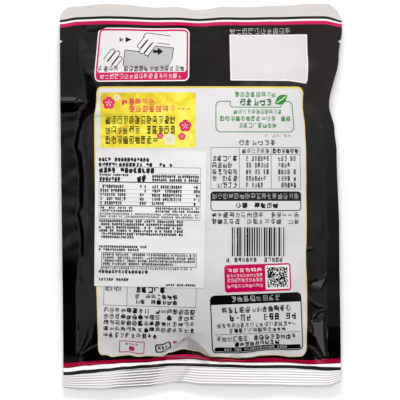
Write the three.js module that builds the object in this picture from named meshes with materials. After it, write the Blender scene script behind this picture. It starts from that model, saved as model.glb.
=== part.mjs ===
// A sealed film pouch of rice crackers, full and unopened. It lies on its front, with the printed
// back up, and an adhesive import label is stuck on the back.
// Millimetres, +Z up. +X runs to the right across the back and +Y towards the top seal. The origin
// is on the surface the pouch lies on, under the middle of its outline.
//
// The film is described on the flat bag: u runs across it and v along it. The filling pulls the
// edges in, so every place on the flat bag is then moved to where the full pouch holds it.
import * as THREE from 'three';

const { clamp, degToRad, lerp, smoothstep } = THREE.MathUtils;

// The flat bag
const HALF_WIDTH = 75;
const TOP_EDGE = 104;
const BOTTOM_EDGE = -101.3;
const SIDE_SEAL = 7; // the flat seal down each side
const TOP_SEAL = 12; // the smooth seal across the filling end
const RIB_PITCH = 1.5;
const RIB_HEIGHT = 0.35;
const BOTTOM_SEAL = 7 * RIB_PITCH; // the crimped seal across the factory end
const SEAL_FILM = 0.6; // both films of a seal, with the air held between them
const LEFT_CORNER = 7;
const RIGHT_CORNER = 9;
const NOTCH_PLACE = 84.6; // the tear notch in each side seal
const NOTCH_DEPTH = 1.5;
const NOTCH_HALF_WIDTH = 1.2;

// The full pouch
const SEAL_HEIGHT = 11; // of the side seals above the surface
const END_SEAL_DROP = 4; // how far the two end seals hang below that
const SEAL_WAVE = 1.1; // how far the seals wave up and down
const SIDE_WAVE_LENGTH = 92;
const END_WAVE_LENGTH = 71;
const BACK_RISE = 18.6;
const FRONT_DROP = 14; // more than the seal height, so the front is pressed flat
const FOOT = { halfWidth: 22, halfLength: 42 }; // the part of the front drawn as one flat face
const CREASE_FADE = 6; // from the seals inwards, creases reach their depth over this length

// How far each edge is drawn from its place on the flat bag: [place along the edge, shift]
const LEFT_EDGE = [[BOTTOM_EDGE, 0.9], [TOP_EDGE, -0.9]];
const RIGHT_EDGE = [
  [BOTTOM_EDGE, 0.4], [-20, -0.6], [25, -2], [37, -3.2], [50, -6.1], [76, -0.9], [92, 0.9],
];
const TOP_WAVE = [
  [-70, -1.2], [-49, 0], [-22, -1.9], [-12, -1.5], [1, -3.2], [15, -1.1], [29, -1.6], [59, 0], [67, -0.6],
];
const BOTTOM_WAVE = [[-70, -2.7], [-44, -1], [-11, 1.2], [6, 0.6], [60, 0.1], [75, 1.4]];

// Creases where the filling pushes the film out of line: [start, end, depth, half width].
// A negative depth is a ridge.
const CREASES = [
  [[-75, 52], [-60, 52], 2.2, 4.5],
  [[-66, 75], [-61, 55], 1.4, 4],
  [[-61, 55], [-66, 40], 1.8, 4],
  [[-66, 40], [-65, -2], 1.5, 3.5],
  [[-65, -2], [-63, -30], 1.3, 3.5],
  [[-66, -84], [-54, -79], 1.8, 4.5],
  [[-66, -84], [-64, -70], 1.6, 4],
  [[72, 50], [52, 52], 1.4, 5],
  [[70, -44], [60, -49], -1.2, 4],
  [[58, -53], [68, -59], 1.6, 3.5],
  [[60, -60], [68, -87], -1.2, 4],
  [[-1, -91], [-6, -79], -1.8, 4],
  [[3, -91], [7, -85], 1.4, 3.5],
];
const LUMP_HEIGHT = 0.7; // of the crackers' outline through the film
const LUMP_ACROSS = 46;
const LUMP_ALONG = 39;

// The import label
const LABEL = { u: -27.6, v: -11.1, width: 59.2, length: 73, turn: -0.9, paper: 0.3, gap: 0.35 };

// Grid spacing
const ACROSS_STEP = 4.25;
const ALONG_STEP = 5;
const LABEL_STEP = 5;

/** The value at one place along a curve that eases through its points. */
function along(points, at) {
  const next = points.findIndex(([place]) => place > at);
  if (next === 0) return points[0][1];
  if (next < 0) return points[points.length - 1][1];
  const [[from, low], [to, high]] = [points[next - 1], points[next]];
  return lerp(low, high, smoothstep(at, from, to));
}

/** How far a point is from the line between two others. */
function distanceTo([fromU, fromV], [toU, toV], u, v) {
  const [du, dv] = [toU - fromU, toV - fromV];
  const part = clamp(((u - fromU) * du + (v - fromV) * dv) / (du * du + dv * dv), 0, 1);
  return Math.hypot(u - fromU - part * du, v - fromV - part * dv);
}

/** Draws a top corner of the flat bag in to an arc: the corner's square goes to a quarter disc. */
function roundCorner(u, v) {
  const radius = u < 0 ? LEFT_CORNER : RIGHT_CORNER;
  const across = Math.abs(u) - (HALF_WIDTH - radius);
  const up = v - (TOP_EDGE - radius);
  if (across <= 0 || up <= 0) return [u, v];
  const twice = 2 * radius * radius;
  const roundAcross = across * Math.sqrt(1 - (up * up) / twice);
  const roundUp = up * Math.sqrt(1 - (across * across) / twice);
  return [Math.sign(u) * (HALF_WIDTH - radius + roundAcross), TOP_EDGE - radius + roundUp];
}

/** Where a place on the flat bag is, seen from above the full pouch. */
function inPlan(flatU, flatV) {
  const [u, v] = roundCorner(flatU, flatV);
  const towardsEdge = (Math.abs(u) / HALF_WIDTH) ** 3;
  const edge = u < 0 ? LEFT_EDGE : RIGHT_EDGE;
  const notch = NOTCH_DEPTH * Math.max(0, 1 - Math.abs(v - NOTCH_PLACE) / NOTCH_HALF_WIDTH);
  const inNotch = smoothstep(Math.abs(u), HALF_WIDTH - 2 * NOTCH_DEPTH, HALF_WIDTH);
  const x = u + along(edge, v) * towardsEdge - Math.sign(u) * notch * inNotch;
  const towardsTop = smoothstep(v, TOP_EDGE - 1.5 * TOP_SEAL, TOP_EDGE);
  const towardsBottom = smoothstep(-v, 68, 87);
  return [x, v + along(TOP_WAVE, u) * towardsTop + along(BOTTOM_WAVE, u) * towardsBottom];
}

/** How full the pouch is at a place, from 0 in the seals to 1 in the middle. */
function fullness(u, v) {
  const across = clamp(Math.abs(u) / (HALF_WIDTH - SIDE_SEAL), 0, 1);
  const [low, high] = [BOTTOM_EDGE + BOTTOM_SEAL, TOP_EDGE - TOP_SEAL];
  const lengthways = clamp(Math.abs(2 * v - low - high) / (high - low), 0, 1);
  return (1 - across ** 2.4) ** 0.8 * (1 - lengthways ** 2.8) ** 0.85;
}

/** The height of the plane that the seals lie in. */
function sealPlane(u, v) {
  const end = smoothstep(Math.abs(v), 45, TOP_EDGE);
  const side = smoothstep(Math.abs(u), 35, HALF_WIDTH);
  const endWave = Math.sin((2 * Math.PI * u) / END_WAVE_LENGTH + Math.sign(v)) * end;
  const sideWave = Math.sin((2 * Math.PI * v) / SIDE_WAVE_LENGTH + Math.sign(u)) * side;
  return SEAL_HEIGHT - END_SEAL_DROP * end + SEAL_WAVE * (endWave + sideWave);
}

/** The crimp across the bottom seal, which both films follow. */
function crimp(v) {
  const top = BOTTOM_EDGE + BOTTOM_SEAL;
  return v < top ? RIB_HEIGHT * (1 - Math.cos((2 * Math.PI * (top - v)) / RIB_PITCH)) : 0;
}

/** Relief of the back film over the filling: lumps of the crackers and creases of the film. */
function relief(u, v) {
  const lumpAcross = Math.sin((2 * Math.PI * u) / LUMP_ACROSS + 1);
  let height = LUMP_HEIGHT * lumpAcross * Math.cos((2 * Math.PI * v) / LUMP_ALONG);
  for (const [start, end, depth, halfWidth] of CREASES) {
    height -= depth * Math.max(0, 1 - distanceTo(start, end, u, v) / halfWidth);
  }
  const inwards = Math.min(HALF_WIDTH - Math.abs(u), TOP_EDGE - v, v - BOTTOM_EDGE);
  return height * smoothstep(inwards, SIDE_SEAL, SIDE_SEAL + CREASE_FADE);
}

/** The height of the back film, which faces up. */
function backHeight(u, v) {
  return sealPlane(u, v) + SEAL_FILM / 2 + BACK_RISE * fullness(u, v) + relief(u, v) + crimp(v);
}

/** The height of the front film, which the surface presses flat. */
function frontHeight(u, v) {
  return Math.max(0, sealPlane(u, v) - SEAL_FILM / 2 - FRONT_DROP * fullness(u, v) + crimp(v));
}

/** Evenly spaced numbers from one value to another, no further apart than step. */
function spaced(from, to, step) {
  const count = Math.ceil(Math.abs(to - from) / step - 1e-6);
  return Array.from({ length: count + 1 }, (_, index) => lerp(from, to, index / count));
}

/** One closed body between two films over a grid. With a foot, the lower film's cells in that block
 * of the grid are one flat rectangle, joined to the cells round it by a flat border. */
function closedSheet(columns, rows, upper, lower, foot = null) {
  const [across, up] = [columns.length, rows.length];
  const positions = [];
  for (const film of [upper, lower]) {
    for (const v of rows) {
      for (const u of columns) positions.push(...film(u, v));
    }
  }
  const top = (i, j) => j * across + i;
  const under = (i, j) => across * up + top(i, j);
  const triangles = [];
  const quad = (a, b, c, d) => triangles.push(a, b, c, a, c, d);
  for (let j = 0; j + 1 < up; j += 1) {
    for (let i = 0; i + 1 < across; i += 1) {
      quad(top(i, j), top(i + 1, j), top(i + 1, j + 1), top(i, j + 1));
      const inFoot = foot && i >= foot.left && i < foot.right && j >= foot.low && j < foot.high;
      if (!inFoot) quad(under(i, j), under(i, j + 1), under(i + 1, j + 1), under(i + 1, j));
    }
    quad(top(0, j), top(0, j + 1), under(0, j + 1), under(0, j));
    quad(top(across - 1, j), under(across - 1, j), under(across - 1, j + 1), top(across - 1, j + 1));
  }
  for (let i = 0; i + 1 < across; i += 1) {
    quad(top(i, 0), under(i, 0), under(i + 1, 0), top(i + 1, 0));
    quad(top(i, up - 1), top(i + 1, up - 1), under(i + 1, up - 1), under(i, up - 1));
  }
  if (foot) fillFoot(foot, under, positions, triangles);
  const geometry = new THREE.BufferGeometry();
  geometry.setAttribute('position', new THREE.Float32BufferAttribute(positions, 3));
  geometry.setIndex(triangles);
  geometry.computeVertexNormals();
  return geometry;
}

/** Fills the foot's block with one flat rectangle, and fans from its corners to the block's rim. */
function fillFoot({ left, right, low, high }, under, positions, triangles) {
  const inset = 0.12;
  const corner = (i, j) => {
    const at = (index, axis) => positions[3 * index + axis];
    const [start, end] = [under(left, low), under(right, high)];
    positions.push(
      lerp(at(start, 0), at(end, 0), i ? 1 - inset : inset),
      lerp(at(start, 1), at(end, 1), j ? 1 - inset : inset),
      0,
    );
    return positions.length / 3 - 1;
  };
  const inner = [corner(0, 0), corner(0, 1), corner(1, 1), corner(1, 0)];
  const sides = [
    spaced(low, high, 1).map((j) => under(left, j)),
    spaced(left, right, 1).map((i) => under(i, high)),
    spaced(high, low, 1).map((j) => under(right, j)),
    spaced(right, left, 1).map((i) => under(i, low)),
  ];
  triangles.push(inner[0], inner[1], inner[2], inner[0], inner[2], inner[3]);
  sides.forEach((side, index) => {
    const [first, second] = [inner[index], inner[(index + 1) % 4]];
    const middle = Math.floor(side.length / 2);
    for (let k = 0; k + 1 < side.length; k += 1) {
      triangles.push(k < middle ? first : second, side[k], side[k + 1]);
    }
    triangles.push(first, side[middle], second);
  });
}

/** The pouch: back and front films, three flat seals and one crimped seal, as one solid. */
function makePouch() {
  const body = HALF_WIDTH - SIDE_SEAL;
  const columns = [
    -HALF_WIDTH, ...spaced(-HALF_WIDTH + 2 * NOTCH_DEPTH, -body, SIDE_SEAL).slice(0, -1),
    ...spaced(-body, body, ACROSS_STEP),
    ...spaced(body, HALF_WIDTH - 2 * NOTCH_DEPTH, SIDE_SEAL).slice(1), HALF_WIDTH,
  ];
  const crimped = BOTTOM_EDGE + BOTTOM_SEAL;
  const notch = [NOTCH_PLACE - NOTCH_HALF_WIDTH, NOTCH_PLACE, NOTCH_PLACE + NOTCH_HALF_WIDTH];
  const rows = [
    ...spaced(BOTTOM_EDGE, crimped, RIB_PITCH / 2).slice(0, -1),
    ...spaced(crimped, notch[0], ALONG_STEP).slice(0, -1),
    ...notch, TOP_EDGE - 1.25 * TOP_SEAL, ...spaced(TOP_EDGE - TOP_SEAL, TOP_EDGE, 2.4),
  ];
  const level = (line, at) => line.findIndex((place) => place >= at);
  const foot = {
    left: level(columns, -FOOT.halfWidth),
    right: level(columns, FOOT.halfWidth),
    low: level(rows, -FOOT.halfLength),
    high: level(rows, FOOT.halfLength),
  };
  const geometry = closedSheet(
    columns,
    rows,
    (u, v) => [...inPlan(u, v), backHeight(u, v)],
    (u, v) => [...inPlan(u, v), frontHeight(u, v)],
    foot,
  );
  const film = new THREE.MeshStandardMaterial({ color: 0x242222, roughness: 0.32, metalness: 0 });
  const mesh = new THREE.Mesh(geometry, film);
  mesh.name = 'pouch';
  return mesh;
}

/** The import label: a paper sheet that follows the back film. */
function makeLabel() {
  const { width, length, paper, gap } = LABEL;
  const turn = degToRad(LABEL.turn);
  const sheetAt = (lift) => (across, up) => {
    const u = LABEL.u + across * Math.cos(turn) - up * Math.sin(turn);
    const v = LABEL.v + across * Math.sin(turn) + up * Math.cos(turn);
    return [...inPlan(u, v), backHeight(u, v) + lift];
  };
  const geometry = closedSheet(
    spaced(-width / 2, width / 2, LABEL_STEP),
    spaced(-length / 2, length / 2, LABEL_STEP),
    sheetAt(gap + paper),
    sheetAt(gap),
  );
  const paperFinish = new THREE.MeshStandardMaterial({ color: 0xeceaea, roughness: 0.6, metalness: 0 });
  const mesh = new THREE.Mesh(geometry, paperFinish);
  mesh.name = 'import_label';
  return mesh;
}

const pouch = new THREE.Group();
pouch.add(makePouch(), makeLabel());

export default pouch;
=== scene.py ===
"""A full, sealed film pouch of rice crackers, lying on its front with the printed back up.

The pouch is a premade three-side-seal bag of black laminated film: flat seals down both sides, a
smooth seal across the filling end, a crimped seal across the factory end and a tear notch in each
side. A paper import label is stuck on its back. Sizes are millimetres until a mesh is finished.
The film is drawn on the flat bag, u across and v along, and then moved to where the filling holds it.
"""

import math

import bmesh
import bpy
import numpy as np
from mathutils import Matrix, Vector


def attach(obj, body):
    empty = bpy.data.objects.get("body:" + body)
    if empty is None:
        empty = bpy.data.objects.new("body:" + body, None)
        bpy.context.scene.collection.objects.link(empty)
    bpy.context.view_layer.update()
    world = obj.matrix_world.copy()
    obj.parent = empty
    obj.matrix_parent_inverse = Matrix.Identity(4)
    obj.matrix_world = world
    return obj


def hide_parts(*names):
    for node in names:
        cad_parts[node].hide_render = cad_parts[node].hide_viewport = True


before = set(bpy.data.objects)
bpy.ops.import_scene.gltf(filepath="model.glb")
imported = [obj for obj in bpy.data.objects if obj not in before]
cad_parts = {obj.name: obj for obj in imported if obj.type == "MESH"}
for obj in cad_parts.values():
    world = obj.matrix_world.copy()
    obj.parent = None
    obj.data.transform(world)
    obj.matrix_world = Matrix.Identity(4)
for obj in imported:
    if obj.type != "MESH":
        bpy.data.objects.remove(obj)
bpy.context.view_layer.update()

MM = 0.001

# The flat bag
HALF_WIDTH = 75
TOP_EDGE = 104
BOTTOM_EDGE = -101.3
SIDE_SEAL = 7
TOP_SEAL = 12
RIB_PITCH = 1.5
RIB_HEIGHT = 0.28
BOTTOM_SEAL = 7 * RIB_PITCH
PLAIN_SEAL = 2.4
SEAL_FILM = 0.35
LEFT_CORNER = 7
RIGHT_CORNER = 9
NOTCH_PLACE = 84.6
NOTCH_DEPTH = 1.5
NOTCH_HALF_WIDTH = 1.2

# The full pouch. Swells are (height, wave length, seed), and a span along the bag is (where a form
# starts, where it is whole, where it is whole no more, where it ends).
SEAL_WAVE, END_WAVE_LENGTH = 1.1, 71
BACK_RISE, FRONT_DROP = 18.6, 14
# Powers that round the rise from each side and end, and how far past the seals swells are held down
LEFT_ROUND, RIGHT_ROUND, END_ROUND = 1.85, 1.05, 2.4
HELD_FILM = 8
BACK_SWELLS = ((0.7, 40, 3), (0.16, 13, 5))
FRONT_SWELLS = ((0.5, 24, 11),)
PUCKER_HEIGHT, PUCKER_SPAN = 0.35, (-88.2, -84, -84, -74)
LEFT_CREASES, CREASED_SPAN = (0.16, 8, 21), (-32, -26, 42, 46)
SHOULDER_HEIGHT, SHOULDER_SPAN = 0.3, (-24, -14, 38, 45)
SHOULDER_MIDDLE, SHOULDER_WIDTH = -60, 5

# How far each edge is drawn from its place on the flat bag: (place along the edge, shift)
LEFT_EDGE = ((BOTTOM_EDGE, 0.9), (TOP_EDGE, -0.9))
RIGHT_EDGE = (
    (BOTTOM_EDGE, 0.4), (-20, -0.6), (25, -2), (37, -3.2), (50, -6.1), (76, -0.9), (92, 0.9),
)
TOP_WAVE = (
    (-75, -1.2), (-68, -1), (-50, 0.3), (-44, 0.1), (-24, -1.5), (-14, -1.2), (-1, -2.9),
    (13, -1.1), (24, -1.4), (40, -0.6), (59, 0.5), (67, 0.5), (75, -0.4),
)
TOP_WAVE_SHARE = ((80, 0), (92, 0.34), (97, 0.4), (TOP_EDGE, 1))
TOP_DROOP, DROOP_SPAN = 1.3, (82, 92, 97, TOP_EDGE)
# The puckers over the bottom seal: how far lines across the flat bag are drawn up, (place, curve)
BOTTOM_PUCKERS = (
    (-72, ((-75, 0), (75, 0))),
    (-85.4, (
        (-75, 0), (-51.6, 0.7), (-47.8, -0.4), (-43.5, 0.2), (-39, 0.65), (-34, -0.3), (-29, 0.15),
        (-24.7, 0), (-21, -0.2), (-17, 2.1), (-9.4, 4), (-2.7, 2.9), (5.5, -0.3), (10, -0.2),
        (15, -0.6), (21, -0.9), (27, -0.5), (31.7, 0.3), (40, 0.6), (48, -0.3), (58, 0), (75, 0),
    )),
    (-86.4, (
        (-73, -2.1), (-62.4, -1.35), (-51.6, -0.65), (-41, -0.15), (-30, -0.1), (-22, 1.15),
        (-15.6, 2.45), (-9, 2.75), (-3, 2.35), (4, 0.55), (7.5, 0.1), (15, 0.05), (21, -0.4),
        (26, -0.2), (31.7, 0.7), (40, 0.9), (48, -0.3), (58.6, -0.55), (67, 0.15), (75, 0.45),
    )),
    (-88.7, (
        (-73, -2.75), (-62.4, -1.5), (-51.6, -0.7), (-41, -0.05), (-30, 0.15), (-22, 0.95),
        (-15.6, 1.65), (-6, 2.15), (3, 1.25), (7, 0.65), (13, 0.55), (29, 0.05), (45, 0.1),
        (58.6, -0.85), (69, -0.45), (75, -0.15),
    )),
    (-89.6, (
        (-73, -3.95), (-62.4, -2.85), (-51.6, -2.1), (-41, -1.05), (-30, -0.15), (-15.6, 0.8),
        (-6, 0.75), (13, 0.2), (29, -0.35), (45, -0.25), (58.6, -0.7), (67, -1.25), (75, -1.35),
    )),
    (BOTTOM_EDGE, (
        (-75, -0.6), (-65, -1.4), (-54, -1.4), (-41, -0.6), (-30, -0.1), (-22, 0.9), (-14, 2.3),
        (-8.6, 2.1), (0, 1), (31, 0.7), (53, 0.2), (68, 0.3), (75, 2.6),
    )),
)

# The crimp across the bottom seal: (place, depth, painted shade in its grooves, level of its plain
# film).
# The press bites to uneven depths, the plain film's level varies as well, and all of it leans with the
# crease at the left.
CRIMP = (
    (-75, 0.9, 0.3, 0.85), (-65, 0.9, 0.3, 0.87), (-58, 0.8, 0.25, 0.87), (-51, 0.3, 0.1, 0.8),
    (-46, 0.7, 0.35, 0.84), (-40, 1.3, 0.75, 0.94), (-26, 1.5, 0.8, 0.94), (-22.5, 1.2, 0.5, 0.9),
    (-20.5, 0.3, 0.05, 0.72), (-12, 0.3, 0.05, 0.72), (-8.6, 0.4, 0.2, 0.66), (-6, 0.8, 0.25, 0.88),
    (20, 1, 0.28, 0.97), (40, 0.9, 0.25, 1), (60, 0.8, 0.22, 0.98), (68, 0.5, 0.15, 0.9),
    (75, 0.5, 0.15, 0.84),
)
CRIMP_LEAN, CRIMP_MIDDLE = 0.58, -96
# Where the painted shade in the grooves is deepest, as a share of the way down from one groove to the
# next
GROOVE_SHADE_PLACE = 0.78

# The height that each side seal stands at: (place along it, height)
LEFT_SEAL = (
    (BOTTOM_EDGE, 4.9), (-86.3, 5.1), (-33, 11.3), (-26, 11.4), (0, 11.3), (28, 11.5), (52, 11.2),
    (80, 11.2), (TOP_EDGE, 10.9),
)
RIGHT_SEAL = (
    (BOTTOM_EDGE, 6.3), (-86.5, 6.6), (-72, 9.7), (-61, 10), (-54, 10.3), (-48, 10.2), (-34, 10.8),
    (0, 11.2), (24, 10.9), (40, 10.4), (TOP_EDGE, 8.1),
)

# The steep wall where the film leaves the left seal: (place, shift inwards, width, height). The
# pouch's round rise starts further in too, by a share of that shift.
WALL_SHARE = 0.8
LEFT_WALL = (
    (-50, 0.3, 2, 0), (-38, 1.4, 2, 0), (-29, 3.2, 2, 0.5), (-20, 3.1, 2.1, 0.55),
    (-12, 1.7, 2.3, 0.62), (-8, 0.4, 2.2, 0.55), (-4, 2.4, 2.4, 0.62), (12, 2.5, 2.7, 0.7),
    (21, 1.7, 2.8, 0.62),
    (28, -0.7, 2.8, 0.62), (33, 0.6, 2.2, 0.6), (40, 2.7, 1.9, 0.6), (42.5, 2.9, 3.6, 1.2),
    (45.6, 3.6, 7.4, 2.5), (51.6, 6.8, 6.7, 2.6), (57, 6.2, 7.4, 3.1), (61.3, 5.7, 7, 3),
    (66.5, 4.6, 5.2, 2.4), (69.5, 3.9, 2.4, 1.1), (74, 3.6, 1.5, 0.6), (78, 3.8, 1.2, 0),
)

# Sharp folds: (points, height at each, width at the greatest height of the flank on the left and on
# the right of the way). A negative height is a valley.
FOLDS = (
    (((-76, 51.6), (-67.5, 51.6), (-60.7, 52)), (2.6, 2.45, 0.15), 3.4, 5.4),
    (((-60.7, 52.1), (-66.6, 45.6)), (0.15, 0.3), 0.8, 0.8),
    (((57.3, -80.2), (60.5, -82), (63.9, -86)), (0.9, 1, 0.8), 1.1, 1.1),
    (((57.5, -52.7), (60.1, -56.4), (62.9, -58.3), (67.7, -58.9)), (0.3, 0.5, 0.5, 0.2), 1.6, 0.9),
    (((57.3, -27.4), (61.5, -27)), (0.65, 0.15), 1.6, 1.6),
    (((-64.8, -84.6), (-59.4, -81.6), (-54.8, -79.7)), (0.7, 0.65, 0.45), 0.95, 0.9),
    (((-67.2, -84), (-67, -72), (-66.8, -60)), (0.25, 0.3, 0), 0.7, 0.7),
    (((-66.3, -83.6), (-62.8, -75.6), (-60.2, -66)), (0.3, 0.35, 0), 0.9, 0.9),
    (((-65.4, -84), (-61.3, -78.8), (-58.8, -72)), (0.35, 0.35, 0), 0.8, 0.8),
    (((-66.2, -38.9), (-64, -44.8)), (-0.25, -0.45), 0.9, 0.9),
    (((2.7, -90.5), (7, -86), (9, -80)), (-0.6, -0.9, 0), 3, 3),
    (((-0.5, -80.6), (5.4, -85), (8, -88.4)), (0.3, 0.45, 0.3), 0.7, 0.7),
    (((2.4, -80.6), (8, -86)), (0.2, 0.35), 0.6, 0.6),
    (
        ((8.6, -85.6), (13.4, -85), (18.8, -83.2), (24.2, -84.8), (34.9, -84.3), (43, -85.5)),
        (0.45, 0.6, 0.45, 0.6, 0.45, 0.1), 0.8, 0.9,
    ),
    (
        ((67.5, 38), (65.4, 24), (67.8, 16.5), (65.8, 9.5), (66.4, -1), (64.2, -17), (67.6, -23.2),
         (65.6, -38)),
        (0.3, 0.35, 0.25, 0.35, 0.3, 0.4, 0.3, 0.2), 4, 1.8,
    ),
    (((-66.5, -89), (-65.4, -86.5), (-62.6, -88.6)), (0, 0.4, 0), 0.8, 0.8),
    (((-9, -89), (-8.6, -101.5)), (-0.2, -0.25), 0.6, 0.6),
)

# Flat facets between folds: (outline, slope across, slope along, width of the edge round it). Each
# keeps the height that the film has in the middle of its outline.
FACETS = (
    (((-58, -66.7), (-55.9, -68.3), (-54.8, -78.5), (-58.6, -79.6), (-59.7, -76.3)), 0.05, 0.3, 1.2),
    (
        ((57.9, -46.6), (60.2, -44.6), (64, -43.8), (67.6, -41.6), (67.6, -44), (65.3, -48.8),
         (62.9, -48.3)),
        -0.104, 0.155, 0.5,
    ),
    (
        ((59.6, -62.6), (59.4, -66), (60.7, -73.7), (62.9, -80.1), (65.6, -85.8), (67.8, -85.8),
         (67.2, -81.7), (66.1, -73.7), (66.4, -65.6), (67.4, -59.6), (63.4, -60.6)),
        -0.104, 0.155, 0.5,
    ),
    (((66.1, -59.9), (66.5, -62.4), (63.8, -65.6), (60.8, -65.6), (62.9, -62.4)), -0.07, 0.12, 1),
    (((-5.6, -74.5), (-20.6, -86.6), (-9, -88), (-6.5, -88)), 0.02, 0.26, 0.8),
    (((-5.6, -74.5), (-6.5, -88), (4.6, -87.8)), 0.2, 0.36, 0.8),
    (((8, -86.2), (13, -85.5), (20, -86), (25, -88.1), (19, -88.3), (10, -88.3)), 0, -0.06, 0.5),
)

# Painted shade where the pinch tucks the film under itself: (outline, how much darker it is painted
# there)
PINCH_SHADE_PATCHES = (
    (
        ((-7, -75.8), (-4.3, -77.3), (3.2, -83), (5.9, -85.4), (1.1, -85.6), (-3.2, -84.8),
         (-7.5, -84.4)),
        0.5,
    ),
    (
        ((-7, -75.8), (-7.5, -84.4), (-12.4, -83.9), (-18.3, -84.2), (-22.1, -84.8), (-14, -81.2)),
        0.28,
    ),
)
PINCH_SHADE_EDGE = 1.2
PINCH_SHADE_TONE = "#4A2A30"

# The import label
LABEL_U, LABEL_V = -27.4, -11.1
LABEL_WIDTH, LABEL_LENGTH = 59.2, 73
LABEL_TURN = math.radians(-0.9)
LABEL_PAPER = 0.15
LABEL_GAP = 0.25

# A sheet's UV map: how wide its upper face is, where its lower face starts, and the gap that each side
# of the rim has at its ends
UPPER_SHARE, LOWER_START, RIM_GAP = 0.74, 0.76, 0.02

# How far the print's outer borders stand in from the flat bag's, where the walls draw the film in
LEFT_INSET = (
    (-85, 3.2), (-83.5, 2.8), (-79.6, 2.5), (-75, 2.4), (-71, 2.15), (-66.7, 1.7), (-62.4, 1.5),
    (-53.8, 1.1), (-45, 0.6), (-40, 0.4), (0, 0.4), (15, 0.2), (24, 0.1), (44.5, 0.1), (49.5, 1.4),
    (53.8, 2.1), (58, 2.1), (62, 1), (66, 0.2), (70, 0), (93, 0),
)
RIGHT_INSET = (
    (-85, 1.4), (-82, 0.8), (-80, 0.6), (-74, 0.55), (-66, 0.25), (-48, 0.2), (-41, 0.4),
    (-36, 0.8), (-29, 0.9), (-24, 0.5), (-12, 0.3), (4, 0.25), (12, 0), (70, 0),
)
# Where the drawing in starts at each side, and where it is whole
LEFT_BORDER, RIGHT_BORDER = (-54, -57), (54.3, 57)

FLOOR_GLOW = 0.145

# What gloss mirrors, by how far the way to it leans to +Y: the levels overhead and to each side. Then
# soft windows: (way to it, cosines of its core and rim, strength)
OVERHEAD_LEVELS = (
    (-0.2, 0), (-0.15, 0.04), (-0.1, 0.19), (-0.05, 0.24), (-0.01, 0.3), (0.02, 0.36), (0.05, 0.52),
    (0.08, 0.56), (0.14, 0.52), (0.4, 0.42), (0.75, 0.4), (0.9, 0.5),
)
LEFT_LEVELS = (
    (-0.5, 0.05), (-0.42, 0.25), (-0.34, 0.35), (-0.16, 0.38), (-0.08, 0.32), (0, 0.28), (0.3, 0.45),
    (0.5, 0.66), (0.65, 1.3),
)
RIGHT_LEVELS = ((-0.45, 0.05), (-0.3, 0.2), (-0.15, 0.38), (0, 0.5), (0.25, 0.66), (0.42, 1.3))
# What the left side adds, by how far the way leans to +X
LEFT_STRIPS = (
    (-0.92, 0.5), (-0.85, 0.42), (-0.81, 0.06), (-0.75, 0.06), (-0.66, 0.3), (-0.55, 0.2), (-0.3, 0.15),
    (-0.15, 0),
)
SOFT_WINDOWS = (
    ((0.2, -0.3, 0.93), 0.997, 0.991, 1.7),
    ((-0.27, 0.08, 0.96), 0.997, 0.985, 0.3),
    ((0.14, 0.98, 0.12), 0.985, 0.962, 2),
)

# Inks
BLACK_INK = "#030202"
THIN_BLACK_INK = "#160B0C"
PAPER_WHITE = "#E6E4E4"
WHITE_INK = "#ECE9E8"
MAGENTA_INK = "#C40052"
RED_INK = "#CE2450"
PANEL_INK = "#D7D5D5"
PINCH_HIGHLIGHT_INK = "#C4154C"
BORDER_INK = "#DCC55E"
GREEN_INK = "#1F7A28"
DEEP_GREEN_INK = "#0B5A1E"
GREY_INK = "#5E5D5C"
DARK_INK = "#060505"
PINK_INK = "#C94A7C"
PLUM_INK = "#B02A58"
SKETCH_INK, SKETCH_GREY, SKETCH_PAPER = "#191818", "#B5B3B4", "#DDD9DA"
DATE_INK = "#D4D1D0"
ROSE, CREAM = ("#CF2C58", "#F0B9C6"), ("#E6DCC8", "#C9B84A")

# Bands across both films: (from, to, ink). Below the black line the film is white.
BLACK_LINE = -91.4
END_BANDS = (
    # The magenta of the bottom band is darker than at the top end: painted shade where that end curves
    # down away from the light
    (-90.3, -89.6, "#222423"), (-89.6, -88.7, "#FCFAF9"), (-88.5, -86.65, "#9C0030"),
    (93.4, 95.3, "#C70C52"), (95.3, 96.3, "#EDEAE9"), (97.7, TOP_EDGE, "#D2CCC9"),
)

# A block of print has its own middle and turn in degrees, and may have leans, how far its left and
# right borders lean as the film is drawn. Its fields are (left, right, bottom, top, corner radius,
# ink), each over the ones before. Its text is greeked: rows of strokes that spell nothing, (left,
# right, top, rows, leading or the height of a single row, pitch, ink, stroke weight, and the end of
# the last row where it is short). The mark share is how much of its row a mark is high.
MARK_SHARE = 0.86
# The share of a code box that its dark cells take up
DARK_CELLS = 0.64
# How strokes fill a mark: lanes across and up, the width of its upright strokes for that of its level
# ones, the share of strokes left out and the share of marks left out
DENSE = (4, 4, 1, 0.3, 0.04)
OPEN = (2, 3, 1.5, 0.15, 0.12)
FINE, THIN, PLAIN, BOLD, HEAVY = ((DENSE, weight) for weight in (0.04, 0.073, 0.092, 0.108, 0.14))
OPEN_THIN, OPEN_PLAIN, OPEN_BOLD, OPEN_HEAVY = (
    (OPEN, weight) for weight in (0.095, 0.15, 0.215, 0.35)
)

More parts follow.
